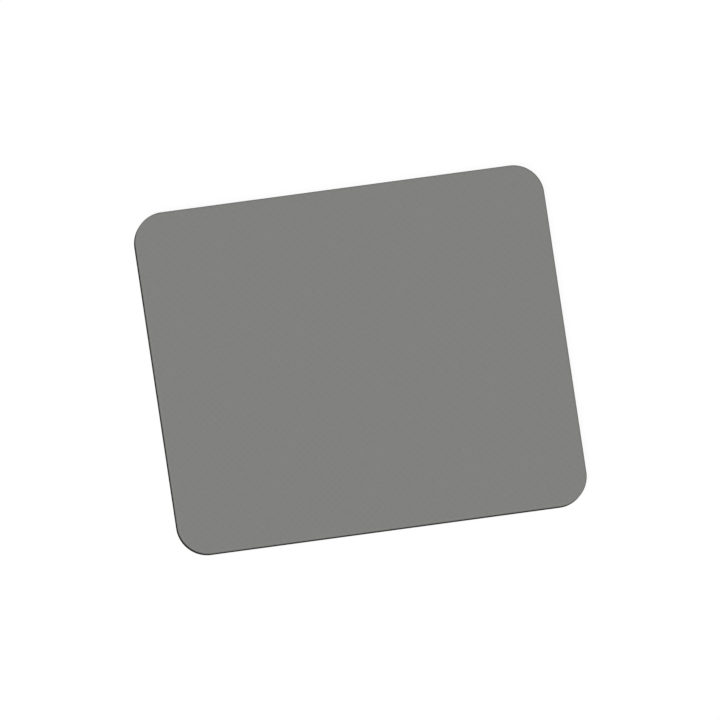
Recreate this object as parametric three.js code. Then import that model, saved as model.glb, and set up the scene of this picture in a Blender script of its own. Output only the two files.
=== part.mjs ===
// Desk mouse pad: a die-cut laminate of woven cloth, hot-melt film and sponge rubber.
// Millimetres, +Z up. The origin is the centre of the underside, +X runs along the long side to the
// user's right, and +Y points away from the user.
import * as THREE from "three";

// Driving dimensions: outline
const PAD_WIDTH = 235;
const PAD_DEPTH = 196.4;
const CORNER_RADIUS = 17.5;

// Driving dimensions: layers
const SPONGE_THICKNESS = 5.7;
const FILM_THICKNESS = 0.15;
const CLOTH_THICKNESS = 0.5;

// Driving dimensions: cut edge. The die presses the laminate down before it shears it, so the rim stays
// rolled over, and the squeezed sponge springs back into a slightly dished wall.
const ROLL_WIDTH = 1.6;
const ROLL_DROP = 0.4;
const WALL_DISH = 0.15;

// Facets
const CORNER_DIVISIONS = 8;
const ROLL_STEPS = 4;
const WALL_STEPS = 8;

// Heights of the flat faces between the layers
const SPONGE_TOP = SPONGE_THICKNESS;
const FILM_TOP = SPONGE_TOP + FILM_THICKNESS;
const PAD_TOP = FILM_TOP + CLOTH_THICKNESS;

// The pad's outline, drawn in from the cut line by the given inset, as points that run anticlockwise
function outlinePoints(inset) {
  const radius = CORNER_RADIUS - inset;
  const cornerX = PAD_WIDTH / 2 - CORNER_RADIUS;
  const cornerY = PAD_DEPTH / 2 - CORNER_RADIUS;
  const quarter = Math.PI / 2;
  const shape = new THREE.Shape();
  shape.absarc(cornerX, cornerY, radius, 0, quarter);
  shape.absarc(-cornerX, cornerY, radius, quarter, 2 * quarter);
  shape.absarc(-cornerX, -cornerY, radius, 2 * quarter, 3 * quarter);
  shape.absarc(cornerX, -cornerY, radius, 3 * quarter, 4 * quarter);
  return shape.getPoints(CORNER_DIVISIONS);
}

// The rolled rim of a face that lies at the given height, as stations from the cut line inwards
function rolledRim(height) {
  return Array.from({ length: ROLL_STEPS + 1 }, (_, step) => {
    const along = step / ROLL_STEPS;
    return { inset: ROLL_WIDTH * along, z: height - ROLL_DROP * (1 - along) ** 2 };
  });
}

// The dished wall of the sponge, as stations from the underside up to just below its rolled rim
function dishedWall() {
  const wallHeight = SPONGE_TOP - ROLL_DROP;
  return Array.from({ length: WALL_STEPS }, (_, step) => {
    const along = step / WALL_STEPS;
    return { inset: 4 * WALL_DISH * along * (1 - along), z: wallHeight * along };
  });
}

// A closed slab lofted through the outlines at its section's stations, from its lower face round the cut
// edge to its upper face
function loftedSlab(section) {
  const rings = section.map(({ inset }) => outlinePoints(inset));
  const ringSize = rings[0].length;
  const positions = section.flatMap(({ z }, ring) => rings[ring].flatMap(({ x, y }) => [x, y, z]));
  const triangles = [];
  for (let ring = 0; ring + 1 < rings.length; ring += 1) {
    for (let point = 0; point < ringSize; point += 1) {
      const next = (point + 1) % ringSize;
      const lower = ring * ringSize;
      const upper = lower + ringSize;
      triangles.push(lower + point, lower + next, upper + next);
      triangles.push(lower + point, upper + next, upper + point);
    }
  }
  const topRing = (rings.length - 1) * ringSize;
  for (const [a, b, c] of THREE.ShapeUtils.triangulateShape(rings.at(0), [])) {
    triangles.push(c, b, a);
  }
  for (const [a, b, c] of THREE.ShapeUtils.triangulateShape(rings.at(-1), [])) {
    triangles.push(topRing + a, topRing + b, topRing + c);
  }
  const geometry = new THREE.BufferGeometry();
  geometry.setAttribute("position", new THREE.Float32BufferAttribute(positions, 3));
  geometry.setIndex(triangles);
  geometry.computeVertexNormals();
  return geometry;
}

function layer(name, section, colour, roughness) {
  const material = new THREE.MeshStandardMaterial({ color: colour, roughness, metalness: 0 });
  const mesh = new THREE.Mesh(loftedSlab(section), material);
  mesh.name = name;
  return mesh;
}

const spongeBase = layer("sponge_base", [...dishedWall(), ...rolledRim(SPONGE_TOP)], 0x2e2e2d, 0.95);

const adhesiveFilm = layer(
  "adhesive_film",
  [...rolledRim(SPONGE_TOP).reverse(), ...rolledRim(FILM_TOP)],
  0x4a4a47,
  0.4,
);

const topCloth = layer(
  "top_cloth",
  [...rolledRim(FILM_TOP).reverse(), ...rolledRim(PAD_TOP)],
  0x81827f,
  0.9,
);

const mousePad = new THREE.Group();
mousePad.add(spongeBase, adhesiveFilm, topCloth);

export default mousePad;
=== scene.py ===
"""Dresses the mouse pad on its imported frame: a woven cloth with a rolled rim, the bond line under it, and
a pored sponge base with an embossed underside. Everything is in metres, in the part's own frame."""

import math
from collections import Counter

import bpy
from mathutils import Matrix, Vector, geometry, noise


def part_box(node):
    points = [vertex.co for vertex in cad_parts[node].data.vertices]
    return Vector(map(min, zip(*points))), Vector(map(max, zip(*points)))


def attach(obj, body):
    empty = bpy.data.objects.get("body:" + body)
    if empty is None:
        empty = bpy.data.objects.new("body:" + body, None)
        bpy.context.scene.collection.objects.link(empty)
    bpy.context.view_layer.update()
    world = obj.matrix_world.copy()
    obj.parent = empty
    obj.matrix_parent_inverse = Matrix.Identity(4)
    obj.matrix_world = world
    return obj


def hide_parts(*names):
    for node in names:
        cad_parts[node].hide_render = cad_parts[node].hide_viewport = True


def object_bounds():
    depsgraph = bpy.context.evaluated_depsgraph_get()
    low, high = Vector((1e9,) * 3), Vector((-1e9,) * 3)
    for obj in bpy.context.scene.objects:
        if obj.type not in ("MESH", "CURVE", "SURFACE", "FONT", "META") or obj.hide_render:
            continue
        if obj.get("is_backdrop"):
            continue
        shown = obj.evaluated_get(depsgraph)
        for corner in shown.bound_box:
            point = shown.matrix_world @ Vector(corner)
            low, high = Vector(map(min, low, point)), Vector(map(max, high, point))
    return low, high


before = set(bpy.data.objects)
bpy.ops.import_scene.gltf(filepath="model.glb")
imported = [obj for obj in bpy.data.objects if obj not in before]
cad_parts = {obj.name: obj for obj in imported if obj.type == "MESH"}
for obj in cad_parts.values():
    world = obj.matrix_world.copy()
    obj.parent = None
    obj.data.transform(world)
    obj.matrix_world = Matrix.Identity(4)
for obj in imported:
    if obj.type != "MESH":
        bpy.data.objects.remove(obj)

MM = 0.001
CAD_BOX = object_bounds()

# Sizes that the frame tells
HALF_WIDTH = CAD_BOX[1].x
HALF_DEPTH = CAD_BOX[1].y
WALL_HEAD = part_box("adhesive_film")[0].z
SPONGE_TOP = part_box("sponge_base")[1].z
FILM_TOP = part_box("adhesive_film")[1].z
CLOTH_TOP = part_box("top_cloth")[1].z
ROLL_DROP = SPONGE_TOP - WALL_HEAD

# Sizes of the outline and of the cut edge. A hair's gap keeps the faces of two layers apart
CORNER_RADIUS = 17.5 * MM
ROLL_WIDTH = 1.6 * MM
WALL_DISH = 0.15 * MM
RIM_FILLET = 0.2 * MM
LAYER_GAP = 0.01 * MM

# Divisions of the cut edge
EDGE_SPACING = 0.4 * MM
HIDDEN_ROLL_STEPS = 4
ROLL_STEPS = 8
FILLET_STEPS = 3
CLOTH_WALL_STEPS = 4
SPONGE_WALL_STEPS = 16
FLAT_MARGIN = 0.5 * MM

# The cut edges aren't perfectly even: yarn ends are frayed, and glue was squeezed out
FRAY_SIZE = 0.7 * MM
FRAY_DEPTH = 0.05 * MM
SQUEEZE_SIZE = 2.5 * MM
SQUEEZE_DEPTH = 0.06 * MM

# Larger open cells along the sponge's wall. Their radii, drawn by lot on a grid finer than the cells, are
# shares of the spacing, and they fade out over a share of the wall at its foot and at its head
PORE_SPACING = 1.2 * MM
PORE_DEPTH = 0.3 * MM
PORE_RADII = (0.22, 0.55)
PORE_LOT_GRID = 10
PORE_FADE = 0.25

# Embossed dimples of the underside
DIMPLE_PITCH = 3.2 * MM
DIMPLE_WIDTH = 2.3 * MM
DIMPLE_FLOOR = 1.7 * MM
DIMPLE_DEPTH = 0.35 * MM
DIMPLE_MARGIN = 1.6 * MM

# Flat faces are filled with rings of points, each at a further inset and from every so many points of the
# cut line, then with a grid. The triangles cover the points' whole hull, and SAME_POINT tells points apart
FILL_RINGS = ((1.2 * MM, 2), (2.4 * MM, 4), (4.8 * MM, 8), (9.6 * MM, 16))
FILL_GRID = 8 * MM
FILL_GRID_INSET = 15 * MM
WHOLE_HULL = 0
SAME_POINT = 1e-9

# Places on the texture map: the larger face, the smaller hidden one, and a strip for each side's wall
MAP_NAME = "OFBake"
MAP_MARGIN = 0.01
MAP_SCALE = (1 - 2 * MAP_MARGIN) / (2 * HALF_WIDTH)
MAP_LARGE = Vector((0.5, 1 - MAP_MARGIN - HALF_DEPTH * MAP_SCALE))
MAP_SMALL_SHARE = 0.04
MAP_SMALL = Vector((0.03, 0.14))
MAP_STRIP = Vector((MAP_MARGIN, 0.004))
MAP_STRIP_HEIGHT = 0.02
MAP_STRIP_PITCH = 0.028

# The photograph's view: tilted off the vertical towards the front left corner, through a very long lens
VIEW_TILT = math.radians(9.8)
VIEW_AZIMUTH = math.radians(-45.6)
VIEW_ROLL = math.radians(37.5)
VIEW_CENTRE = Vector((0.14 * MM, 0.4 * MM, 0.0))
VIEW_WIDTH = 406.93 * MM
LENS_MM = 1600
SENSOR_MM = 36

# Light at which a colour renders as it is written, shared by a white room and one broad soft lamp
ROOM_SHARE = 0.5
LAMP_SHARE = 1 - ROOM_SHARE
LAMP_TILT = math.radians(32)
LAMP_AZIMUTH = math.radians(-45)
LAMP_SPREAD = math.radians(60)
WHITE = (1, 1, 1, 1)

# Floor: where it is seen it glows white, apart from a share that takes the pad's shadow
FLOOR_SIZE = 60.0
FLOOR_COLOUR = (0.8, 0.8, 0.8, 1)
FLOOR_GLOW = 1.02
FLOOR_SHADOW = 0.1

# Cloth: a plain weave. Here and below, shades are factors of the colour, and pairs of shades and of
# roughness run from the lowest to the highest place
CLOTH_COLOUR = (0.2352, 0.2395, 0.2271)
CLOTH_ROUGHNESS = (0.95, 0.8)
CLOTH_SPECULAR = 0.15
CLOTH_SHEEN = 0.12
CLOTH_SHEEN_ROUGHNESS = 0.45
YARN_PITCH = 0.65 * MM
YARN_LIFT = 0.6
YARN_WANDER = 0.5
YARN_WANDER_SIZE = 2.6 * MM
WEAVE_DEPTH = 0.14 * MM
# Painted shade of the weave: darkest in the gaps between the yarns, lightest on their crowns
WEAVE_PAINTED_SHADES = (0.62, 1.12)
FIBRE_WIDTH = 0.06 * MM
FIBRE_LENGTH = 0.8 * MM
FIBRE_SHADES = (0.75, 1.25)
STREAK_WIDTH = 0.9 * MM
STREAK_LENGTH = 9 * MM
STREAK_SHADES = (0.96, 1.04)

# Pressed yarns and painted shade darken the rim, from a little below the face to the cut
RIM_PAINTED_SHADE = 0.25
RIM_PAINTED_SHADE_FROM = 0.14 * MM

# Bond line: a film with faint ripples
FILM_COLOUR = (0.07, 0.07, 0.066)
FILM_ROUGHNESS = (0.3, 0.5)
RIPPLE_WIDTH = 1.5 * MM
RIPPLE_HEIGHT = 0.4 * MM
RIPPLE_DEPTH = 0.05 * MM
RIPPLE_SHADES = (0.8, 1.2)

# Sponge: fine and coarse bubbles that the cut opened, whose radii are shares of their spacing. Near the
# foot a moulded skin hides them
SPONGE_COLOUR = (0.025, 0.025, 0.0242)
SPONGE_ROUGHNESS = (0.98, 0.85)
SPONGE_SPECULAR = 0.0
BUBBLE_SPACINGS = (0.22 * MM, 0.46 * MM)
BUBBLE_RADII = (0.2, 0.68)
BUBBLE_SLOPE = (0.5, 1.0)
BUBBLE_DEPTH = 0.15 * MM
# Painted shade of the bubbles: darkest on their floors, full colour on the skin between them
BUBBLE_PAINTED_SHADES = (0.3, 1.25)
SKIN_HEIGHT = 0.35 * MM
SKIN_FADE = 0.4 * MM
GRAIN_SIZE = 0.2 * MM
GRAIN_DEPTH = 0.04 * MM
GRAIN_SHADES = (0.5, 1.5)
MOTTLE_SIZE = 6 * MM
MOTTLE_DETAIL = 4.0
MOTTLE_SHADES = (0.8, 1.2)


class Slab:
    """Vertices, faces and texture places of one layer of the pad."""

    def __init__(self):
        self.points = []
        self.faces = []
        self.places = []
        self.smooth = []

    def add_points(self, points):
        first = len(self.points)
        self.points.extend(points)
        return list(range(first, len(self.points)))

    def add_face(self, corners, places, smooth=True):
        self.faces.append(corners)
        self.places.extend(places)
        self.smooth.append(smooth)

    def piece(self, name, material):
        mesh = bpy.data.meshes.new(name)
        mesh.from_pydata(self.points, [], self.faces)
        mesh.polygons.foreach_set("use_smooth", self.smooth)
        layer = mesh.uv_layers.new(name=MAP_NAME)
        layer.data.foreach_set("uv", [value for place in self.places for value in place])
        mesh.materials.append(material)
        mesh.validate()
        mesh.update()
        obj = bpy.data.objects.new(name, mesh)
        bpy.context.scene.collection.objects.link(obj)
        return obj


def direction(angle):
    return Vector((math.cos(angle), math.sin(angle)))


def side_run(side):
    """Points and outward directions along one side, with half of the corner at either end."""
    quarter = math.pi / 2
    middle = side * quarter
    outward = direction(middle)
    ahead = direction(middle + quarter)
    reach = HALF_WIDTH if side % 2 == 0 else HALF_DEPTH
    half_length = (HALF_DEPTH if side % 2 == 0 else HALF_WIDTH) - CORNER_RADIUS
    centre = outward * (reach - CORNER_RADIUS)
    arc_steps = round(CORNER_RADIUS * quarter / 2 / EDGE_SPACING)
    straight_steps = round(2 * half_length / EDGE_SPACING)
    run = []
    for step in range(arc_steps):
        normal = direction(middle - quarter / 2 * (1 - step / arc_steps))
        run.append((centre - ahead * half_length + normal * CORNER_RADIUS, normal))
    for step in range(straight_steps):
        along = half_length * (2 * step / straight_steps - 1)
        run.append((centre + ahead * along + outward * CORNER_RADIUS, outward))
    for step in range(arc_steps):
        normal = direction(middle + quarter / 2 * step / arc_steps)
        run.append((centre + ahead * half_length + normal * CORNER_RADIUS, normal))
    return run


SIDES = [side_run(side) for side in range(4)]
CUT_LINE = [station for run in SIDES for station in run]


def rolled_rim(height, steps=HIDDEN_ROLL_STEPS, fillet=0.0):
    """Stations (inset, height) of a rolled rim from the cut line inwards, if asked with a fillet."""
    insets = [ROLL_WIDTH * step / steps for step in range(steps + 1)]
    if fillet:
        insets += [fillet * (step / FILLET_STEPS) ** 2 for step in range(1, FILLET_STEPS + 1)]
    stations = []
    for inset in sorted(set(insets)):
        fall = ROLL_DROP * (1 - inset / ROLL_WIDTH) ** 2
        if inset < fillet:
            fall += fillet - math.sqrt(fillet ** 2 - (fillet - inset) ** 2)
        stations.append((inset, height - fall))
    stations.append((ROLL_WIDTH + FLAT_MARGIN, height))
    return stations


def raised(stations, rise):
    return [(inset, height + rise) for inset, height in stations]


def large_place(point, *_):
    """A point's spot on the map of the larger face."""
    return MAP_LARGE + point.xy * MAP_SCALE


def small_place(point, *_):
    """A point's spot on the map of the hidden face."""
    return MAP_SMALL + point.xy * MAP_SCALE * MAP_SMALL_SHARE


def wall_place(foot, head):
    """A function that gives a point of the wall between two heights its spot on its side's strip."""
    def place(point, side, step):
        along = step / len(SIDES[side]) * 2 * HALF_WIDTH * MAP_SCALE
        across = (point.z - foot) / (head - foot) * MAP_STRIP_HEIGHT
        return MAP_STRIP + Vector((along, across + side * MAP_STRIP_PITCH))

    return place


def add_rings(slab, section, wobble):
    """A ring of points for each station of the section. wobble says how far a point is drawn in."""
    rings = []
    for inset, height in section:
        points = []
        for point, normal in CUT_LINE:
            flat = point - normal * (inset + wobble(point, inset, height))
            points.append(Vector((flat.x, flat.y, height)))
        rings.append(slab.add_points(points))
    return rings


def join_rings(slab, lower, upper, place):
    """Quads between two rings. place gives a point's spot on the map, also from its side and step."""
    first = 0
    for side, run in enumerate(SIDES):
        for step in range(len(run)):
            here = first + step
            after = (here + 1) % len(CUT_LINE)
            corners = (lower[here], lower[after], upper[after], upper[here])
            steps = (step, step + 1, step + 1, step)
            places = [place(slab.points[corner], side, at) for corner, at in zip(corners, steps)]
            slab.add_face(corners, places)
        first += len(run)


def fill_points(inset):
    """Points that fill the flat face inside a ring at an inset, thinning out towards the middle."""
    points = []
    for deeper, every in FILL_RINGS:
        points += [point - normal * (inset + deeper) for point, normal in CUT_LINE[::every]]
    columns = int((HALF_WIDTH - FILL_GRID_INSET) / FILL_GRID)
    rows = int((HALF_DEPTH - FILL_GRID_INSET) / FILL_GRID)
    for column in range(-columns, columns + 1):
        for row in range(-rows, rows + 1):
            points.append(Vector((column, row)) * FILL_GRID)
    return points


def triangulated(points, edges):
    """Triangles over the hull of flat points, as lists of the points' own numbers."""
    result = geometry.delaunay_2d_cdt(points, edges, [], WHOLE_HULL, SAME_POINT)
    triangles, sources = result[2], result[3]
    return [[sources[corner][0] for corner in triangle] for triangle in triangles]


def ring_edges(count):
    return [(corner, (corner + 1) % count) for corner in range(count)]


def fill_face(slab, ring, inset, height, up, place):
    """Fills the flat face inside a ring with triangles that grow inwards."""
    inside = fill_points(inset)
    flat = [slab.points[corner].xy for corner in ring] + inside
    corners = ring + slab.add_points([Vector((point.x, point.y, height)) for point in inside])
    for triangle in triangulated(flat, ring_edges(len(ring))):
        face = [corners[corner] for corner in (triangle if up else reversed(triangle))]
        slab.add_face(face, [place(slab.points[corner]) for corner in face])


def layer_slab(lower, wall, upper, wobble, lower_place, upper_place):
    """A layer from stations of its lower face, wall and upper face, still open inside its first ring."""
    section = lower + wall + upper
    slab = Slab()
    rings = add_rings(slab, section, wobble)
    wall_start = max(len(lower) - 1, 0)
    wall_end = len(lower) + len(wall)
    on_wall = wall_place(section[wall_start][1], section[wall_end][1])
    for number, (below, above) in enumerate(zip(rings, rings[1:])):
        if number < wall_start:
            join_rings(slab, below, above, lower_place)
        elif number < wall_end:
            join_rings(slab, below, above, on_wall)
        else:
            join_rings(slab, below, above, upper_place)
    fill_face(slab, rings[-1], *upper[-1], True, upper_place)
    return slab, rings[0]


def uneven(spot, inset):
    """An unevenness from 0 to 1 that dies out over the rim."""
    fade = max(0.0, 1 - inset / ROLL_WIDTH)
    return fade * (0.5 + 0.5 * noise.noise(spot))


def frayed(point, inset, height):
    """How far cut yarn ends are drawn in, which changes from yarn to yarn."""
    return FRAY_DEPTH * uneven(Vector((point.x, point.y, height)) / FRAY_SIZE, inset)


def squeezed(point, inset, height):
    """How far the glue is drawn in, as it was pressed out more in some places than in others."""
    return SQUEEZE_DEPTH * uneven(Vector((point.x, point.y, 0)) / SQUEEZE_SIZE, inset)


def pored(point, inset, height):
    """Depth of the open cells that the die cut through, with none at the foot or under the glue."""
    along = height / WALL_HEAD
    if not 0 < along < 1:
        return 0.0
    fade = min(1.0, along / PORE_FADE, (1 - along) / PORE_FADE)
    spot = Vector((point.x, point.y, height)) / PORE_SPACING
    distances, centres = noise.voronoi(spot)
    least, most = PORE_RADII
    lot = abs(noise.cell(centres[0] * PORE_LOT_GRID))
    radius = least + (most - least) * lot
    bowl = max(0.0, 1 - (distances[0] / radius) ** 2)
    return PORE_DEPTH * fade * bowl


def make_cloth(material):
    """The cloth on the bond line, with a fillet at its cut."""
    lower = raised(rolled_rim(FILM_TOP)[::-1], LAYER_GAP)
    upper = rolled_rim(CLOTH_TOP, ROLL_STEPS, RIM_FILLET)
    foot, head = lower[-1][1], upper[0][1]
    shares = [step / CLOTH_WALL_STEPS for step in range(1, CLOTH_WALL_STEPS)]
    wall = [(0.0, foot + (head - foot) * share) for share in shares]
    slab, foot_ring = layer_slab(lower, wall, upper, frayed, small_place, large_place)
    fill_face(slab, foot_ring, *lower[0], False, small_place)
    return slab.piece("pad_cloth", material)


def make_film(material):
    """The bond line between the sponge and the cloth."""
    lower = raised(rolled_rim(SPONGE_TOP)[::-1], LAYER_GAP)
    upper = rolled_rim(FILM_TOP)
    slab, foot_ring = layer_slab(lower, [], upper, squeezed, small_place, large_place)
    fill_face(slab, foot_ring, *lower[0], False, small_place)
    return slab.piece("pad_bond", material)


def dished_wall():
    """Stations of the sponge's wall from its foot to below its head, drawn in most at half its height."""
    shares = [step / SPONGE_WALL_STEPS for step in range(SPONGE_WALL_STEPS)]
    return [(4 * WALL_DISH * share * (1 - share), WALL_HEAD * share) for share in shares]


def make_sponge(material):
    """The sponge base, with open cells in its wall and dimples in its underside."""
    upper = rolled_rim(SPONGE_TOP)
    slab, foot_ring = layer_slab([], dished_wall(), upper, pored, large_place, small_place)
    add_underside(slab, foot_ring)
    return slab.piece("pad_sponge", material)


def dimple_cells():
    """Columns and rows of the embossed cells that lie wholly inside the margin of the underside."""
    reach = CORNER_RADIUS - DIMPLE_MARGIN
    corner = Vector((HALF_WIDTH - CORNER_RADIUS, HALF_DEPTH - CORNER_RADIUS))
    columns = int((HALF_WIDTH - DIMPLE_MARGIN) / DIMPLE_PITCH)
    rows = int((HALF_DEPTH - DIMPLE_MARGIN) / DIMPLE_PITCH)
    cells = []
    for column in range(-columns, columns):
        for row in range(-rows, rows):
            far = Vector((max(-column, column + 1), max(-row, row + 1))) * DIMPLE_PITCH - corner
            if min(far) <= 0 or far.length <= reach:
                cells.append((column, row))
    return cells


def cell_spots(cell):
    """The corners of a cell on the grid, anticlockwise."""
    column, row = cell
    return [(column, row), (column + 1, row), (column + 1, row + 1), (column, row + 1)]


def field_edges(cells):
    """The sides of cells that no other cell shares, as pairs of grid spots."""
    uses = Counter()
    for cell in cells:
        spots = cell_spots(cell)
        uses.update(tuple(sorted(side)) for side in zip(spots, spots[1:] + spots[:1]))
    return [side for side, count in uses.items() if count == 1]


def add_flat_face(slab, corners):
    """A face of the underside, with sharp edges."""
    slab.add_face(corners, [large_place(slab.points[corner]) for corner in corners], smooth=False)


def add_square(slab, middle, width, height):
    """The corners of a level square, anticlockwise."""
    half = width / 2
    around = ((-half, -half), (half, -half), (half, half), (-half, half))
    return slab.add_points([Vector((middle.x + x, middle.y + y, height)) for x, y in around])


def add_dimple(slab, cell, land):
    """The land, sloped walls and floor of one embossed cell, inside the corners of its land."""
    middle = (Vector(cell) + Vector((0.5, 0.5))) * DIMPLE_PITCH
    rim = add_square(slab, middle, DIMPLE_WIDTH, 0.0)
    floor = add_square(slab, middle, DIMPLE_FLOOR, DIMPLE_DEPTH)
    for outer, inner in ((land, rim), (rim, floor)):
        for corner in range(4):
            after = (corner + 1) % 4
            add_flat_face(slab, (outer[after], outer[corner], inner[corner], inner[after]))
    add_flat_face(slab, floor[::-1])


def add_margin(slab, ring, spots, cells):
    """The plain land between the cut line and the dimples. spots gives the points of the grid's spots."""
    corners = ring + list(spots.values())
    number = {corner: at for at, corner in enumerate(corners)}
    flat = [slab.points[corner].xy for corner in corners]
    inner_edges = [tuple(number[spots[spot]] for spot in side) for side in field_edges(cells)]
    inside = set(cells)
    for triangle in triangulated(flat, ring_edges(len(ring)) + inner_edges):
        middle = sum((flat[corner] for corner in triangle), Vector((0, 0))) / 3
        cell = (math.floor(middle.x / DIMPLE_PITCH), math.floor(middle.y / DIMPLE_PITCH))
        if cell not in inside:
            add_flat_face(slab, [corners[corner] for corner in reversed(triangle)])


def add_underside(slab, ring):
    """The embossed underside: a field of dimples, and the margin between it and the cut line."""
    cells = dimple_cells()
    grid = sorted({spot for cell in cells for spot in cell_spots(cell)})
    points = [Vector((column, row, 0)) * DIMPLE_PITCH for column, row in grid]
    spots = dict(zip(grid, slab.add_points(points)))
    for cell in cells:
        add_dimple(slab, cell, [spots[spot] for spot in cell_spots(cell)])
    add_margin(slab, ring, spots, cells)


class Nodes:
    """The node tree of a new material or world, with short ways to add and link nodes."""

    def __init__(self, owner):
        owner.use_nodes = True
        self.owner = owner
        self.tree = owner.node_tree
        self.tree.nodes.clear()

    def add(self, kind, inputs=None, **settings):
        node = self.tree.nodes.new(kind)
        for name, value in settings.items():
            setattr(node, name, value)
        for name, value in (inputs or {}).items():
            self.put(node.inputs[name], value)
        return node

    def put(self, socket, value):
        if isinstance(value, bpy.types.NodeSocket):
            self.tree.links.new(value, socket)
        else:
            socket.default_value = value

    def maths(self, operation, *values):
        return self.add("ShaderNodeMath", dict(enumerate(values)), operation=operation).outputs[0]

    def axis(self, vector, number):
        return self.add("ShaderNodeSeparateXYZ", {0: vector}).outputs[number]

    def spot(self):
        return self.add("ShaderNodeTexCoord").outputs["Object"]

    def level(self):
        """Height above the underside."""
        return self.axis(self.spot(), 2)

    def counted(self, lengths):
        """Object coordinates, counted in a length for each axis."""
        inputs = {0: self.spot(), 1: [1 / length for length in lengths]}
        return self.add("ShaderNodeVectorMath", inputs, operation="MULTIPLY").outputs[0]

    def grain(self, lengths, detail=2.0):
        """Noise from 0 to 1, whose grains have a length along each axis."""
        inputs = {"Vector": self.counted(lengths), "Scale": 1.0, "Detail": detail}
        return self.add("ShaderNodeTexNoise", inputs).outputs["Fac"]

    def ramp(self, value, start, end, low, high, kind="LINEAR"):
        """Runs from low to high as the value goes from start to end, and stays there."""
        inputs = {"Value": value, "From Min": start, "From Max": end, "To Min": low, "To Max": high}
        return self.add("ShaderNodeMapRange", inputs, interpolation_type=kind).outputs[0]

    def spread(self, value, low, high):
        """A value from 0 to 1, drawn out to run from low to high."""
        return self.maths("MULTIPLY_ADD", value, high - low, low)

    def tinted(self, colour, *factors):
        """A colour times one or more factors."""
        factor = factors[0]
        for other in factors[1:]:
            factor = self.maths("MULTIPLY", factor, other)
        inputs = {0: colour, "Scale": factor}
        return self.add("ShaderNodeVectorMath", inputs, operation="SCALE").outputs[0]

    def bump(self, height, depth):
        return self.add("ShaderNodeBump", {"Height": height, "Distance": depth}).outputs["Normal"]

    def seen_directly(self):
        """1 for rays from the camera, a mirror or glass, and 0 for those that light the scene."""
        path = self.add("ShaderNodeLightPath").outputs
        unlit = self.maths("MAXIMUM", path["Is Camera Ray"], path["Is Glossy Ray"])
        return self.maths("MAXIMUM", unlit, path["Is Transmission Ray"])

    def done(self, shader, output="ShaderNodeOutputMaterial"):
        """The material or world, with its shader in place."""
        self.put(self.add(output).inputs["Surface"], shader.outputs[0])
        return self.owner


def new_material(name):
    return Nodes(bpy.data.materials.new(name))


def yarns(nodes, across, along, lift):
    """Height of round yarns, side by side across, that rise and dip by the lift along their way."""
    turn = nodes.maths("ADD", along, nodes.maths("FLOOR", across))
    wave = nodes.maths("SINE", nodes.maths("MULTIPLY", turn, math.pi))
    crown = nodes.maths("SINE", nodes.maths("MULTIPLY", nodes.maths("FRACT", across), math.pi))
    return nodes.maths("MULTIPLY_ADD", wave, lift, crown)


def weave(nodes):
    """Height of a plain weave whose yarns wander a little, and the tone of its fibres, from 0 to 1."""
    wander = nodes.grain((YARN_WANDER_SIZE,) * 3)
    spot = nodes.counted((YARN_PITCH,) * 3)
    across = nodes.maths("MULTIPLY_ADD", wander, YARN_WANDER, nodes.axis(spot, 0))
    along = nodes.maths("MULTIPLY_ADD", wander, -YARN_WANDER, nodes.axis(spot, 1))
    warp = yarns(nodes, across, along, YARN_LIFT)
    weft = yarns(nodes, along, across, -YARN_LIFT)
    height = nodes.maths("DIVIDE", nodes.maths("MAXIMUM", warp, weft), 1 + YARN_LIFT)
    warp_fibre = nodes.grain((FIBRE_WIDTH, FIBRE_LENGTH, FIBRE_LENGTH))
    weft_fibre = nodes.grain((FIBRE_LENGTH, FIBRE_WIDTH, FIBRE_LENGTH))
    lead = nodes.maths("SUBTRACT", warp_fibre, weft_fibre)
    warp_over = nodes.maths("GREATER_THAN", warp, weft)
    return height, nodes.maths("MULTIPLY_ADD", lead, warp_over, weft_fibre)


def streaks(nodes):
    """Tone of faint streaks along the warp and the weft, from 0 to 1."""
    warp = nodes.grain((STREAK_WIDTH, STREAK_LENGTH, STREAK_LENGTH))
    weft = nodes.grain((STREAK_LENGTH, STREAK_WIDTH, STREAK_LENGTH))
    return nodes.maths("MULTIPLY", nodes.maths("ADD", warp, weft), 0.5)


def rim_painted_shade(nodes):
    """Darkening from the pressed yarns and painted shade, which eases off up the rolled rim."""
    foot = CLOTH_TOP - ROLL_DROP - RIM_FILLET
    head = CLOTH_TOP - RIM_PAINTED_SHADE_FROM
    return nodes.ramp(nodes.level(), foot, head, RIM_PAINTED_SHADE, 1.0)


def cloth_material():
    nodes = new_material("pad_cloth")
    height, fibre = weave(nodes)
    shades = [
        # Painted shade in the gaps between the yarns, lightest on their crowns
        nodes.spread(height, *WEAVE_PAINTED_SHADES),
        nodes.spread(fibre, *FIBRE_SHADES),
        nodes.spread(streaks(nodes), *STREAK_SHADES),
        # Painted shade of the rim, partly the darker pressed yarns
        rim_painted_shade(nodes),
    ]
    return nodes.done(nodes.add("ShaderNodeBsdfPrincipled", {
        "Base Color": nodes.tinted(CLOTH_COLOUR, *shades),
        "Roughness": nodes.spread(height, *CLOTH_ROUGHNESS),
        "Specular IOR Level": CLOTH_SPECULAR,
        "Sheen Weight": CLOTH_SHEEN,
        "Sheen Roughness": CLOTH_SHEEN_ROUGHNESS,
        "Normal": nodes.bump(height, WEAVE_DEPTH),
    }))


def film_material():
    nodes = new_material("pad_bond")
    ripple = nodes.grain((RIPPLE_WIDTH, RIPPLE_WIDTH, RIPPLE_HEIGHT))
    return nodes.done(nodes.add("ShaderNodeBsdfPrincipled", {
        "Base Color": nodes.tinted(FILM_COLOUR, nodes.spread(ripple, *RIPPLE_SHADES)),
        "Roughness": nodes.spread(ripple, *FILM_ROUGHNESS),
        "Normal": nodes.bump(ripple, RIPPLE_DEPTH),
    }))


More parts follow.
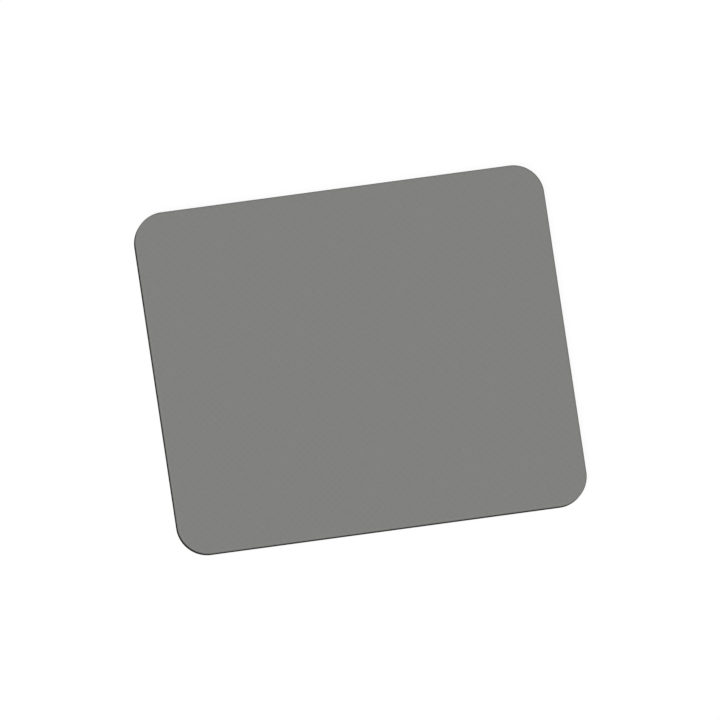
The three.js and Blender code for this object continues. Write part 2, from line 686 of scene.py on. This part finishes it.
def bubbles(nodes, spacing):
    """Depth of round bubbles whose radii are drawn by lot, from 0 outside them to 1 on their floors."""
    inputs = {"Vector": nodes.counted((spacing,) * 3), "Scale": 1.0}
    cells = nodes.add("ShaderNodeTexVoronoi", inputs).outputs
    radius = nodes.spread(nodes.axis(cells["Color"], 0), *BUBBLE_RADII)
    share = nodes.maths("DIVIDE", cells["Distance"], radius)
    return nodes.ramp(share, *BUBBLE_SLOPE, 1.0, 0.0, "SMOOTHSTEP")


def sponge_surface(nodes):
    """Height of the skin and of what is left between the bubbles, 1, down to 0 on the bubbles' floors."""
    fine, coarse = [bubbles(nodes, spacing) for spacing in BUBBLE_SPACINGS]
    cut = nodes.ramp(nodes.level(), SKIN_HEIGHT, SKIN_HEIGHT + SKIN_FADE, 0.0, 1.0)
    depth = nodes.maths("MULTIPLY", nodes.maths("MAXIMUM", fine, coarse), cut)
    return nodes.maths("SUBTRACT", 1.0, depth)


def sponge_material():
    nodes = new_material("pad_sponge")
    surface = sponge_surface(nodes)
    grain = nodes.grain((GRAIN_SIZE,) * 3)
    mottle = nodes.grain((MOTTLE_SIZE,) * 3, MOTTLE_DETAIL)
    shades = [
        # Painted shade on the bubbles' floors
        nodes.spread(surface, *BUBBLE_PAINTED_SHADES),
        nodes.spread(grain, *GRAIN_SHADES),
        nodes.spread(mottle, *MOTTLE_SHADES),
    ]
    height = nodes.maths("MULTIPLY_ADD", grain, GRAIN_DEPTH / BUBBLE_DEPTH, surface)
    return nodes.done(nodes.add("ShaderNodeBsdfPrincipled", {
        "Base Color": nodes.tinted(SPONGE_COLOUR, *shades),
        "Roughness": nodes.spread(surface, *SPONGE_ROUGHNESS),
        "Specular IOR Level": SPONGE_SPECULAR,
        "Normal": nodes.bump(height, BUBBLE_DEPTH),
    }))


def floor_material():
    """White where it is seen, apart from a share that takes the shadow, and a pale bounce elsewhere."""
    nodes = new_material("floor")
    lit = nodes.add("ShaderNodeBsdfDiffuse", {"Color": WHITE}).outputs[0]
    glow = nodes.add("ShaderNodeEmission", {"Color": WHITE, "Strength": FLOOR_GLOW}).outputs[0]
    shown = nodes.add("ShaderNodeMixShader", {0: FLOOR_SHADOW, 1: glow, 2: lit}).outputs[0]
    bounce = nodes.add("ShaderNodeBsdfDiffuse", {"Color": FLOOR_COLOUR}).outputs[0]
    return nodes.done(nodes.add("ShaderNodeMixShader", {0: nodes.seen_directly(), 1: bounce, 2: shown}))


def make_floor():
    mesh = bpy.data.meshes.new("floor")
    half = FLOOR_SIZE / 2
    corners = [(-half, -half, 0), (half, -half, 0), (half, half, 0), (-half, half, 0)]
    mesh.from_pydata(corners, [], [(0, 1, 2, 3)])
    mesh.materials.append(floor_material())
    floor = bpy.data.objects.new("floor", mesh)
    bpy.context.scene.collection.objects.link(floor)
    floor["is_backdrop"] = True


def make_world():
    """A room that is seen as white and gives its share of the light."""
    nodes = Nodes(bpy.data.worlds.new("room"))
    strength = nodes.spread(nodes.seen_directly(), ROOM_SHARE, 1.0)
    background = nodes.add("ShaderNodeBackground", {"Color": WHITE, "Strength": strength})
    bpy.context.scene.world = nodes.done(background, "ShaderNodeOutputWorld")


def turned(azimuth, tilt, roll=0.0):
    """Looks down, tilted off the vertical, from an azimuth that is 0 at -Y and a quarter turn at +X."""
    return (
        Matrix.Rotation(azimuth, 4, "Z")
        @ Matrix.Rotation(tilt, 4, "X")
        @ Matrix.Rotation(roll, 4, "Z")
    )


def make_lamp():
    """A broad sun that gives a level face its share of the light."""
    light = bpy.data.lights.new("broad_lamp", "SUN")
    light.energy = LAMP_SHARE * math.pi / math.cos(LAMP_TILT)
    light.angle = LAMP_SPREAD
    lamp = bpy.data.objects.new("broad_lamp", light)
    lamp.matrix_world = turned(LAMP_AZIMUTH, LAMP_TILT)
    bpy.context.scene.collection.objects.link(lamp)


def make_camera():
    """The photograph's camera, as far off as its lens and the width of its view ask."""
    data = bpy.data.cameras.new("camera")
    data.sensor_width = SENSOR_MM
    data.lens = LENS_MM
    distance = VIEW_WIDTH * LENS_MM / SENSOR_MM
    data.clip_end = 2 * distance
    camera = bpy.data.objects.new("camera", data)
    turn = turned(VIEW_AZIMUTH, VIEW_TILT, VIEW_ROLL)
    camera.matrix_world = Matrix.Translation(VIEW_CENTRE + turn.col[2].xyz * distance) @ turn
    bpy.context.scene.collection.objects.link(camera)
    bpy.context.scene.camera = camera


make_camera()
make_world()
make_lamp()
make_floor()

sponge = make_sponge(sponge_material())
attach(sponge, "root")
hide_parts("sponge_base")

film = make_film(film_material())
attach(film, "root")
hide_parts("adhesive_film")

cloth = make_cloth(cloth_material())
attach(cloth, "root")
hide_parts("top_cloth")

bpy.context.scene.view_settings.view_transform = "Standard"

boxes = {"cad": CAD_BOX, "visual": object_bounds()}
{name: [list(corner) for corner in box] for name, box in boxes.items()}
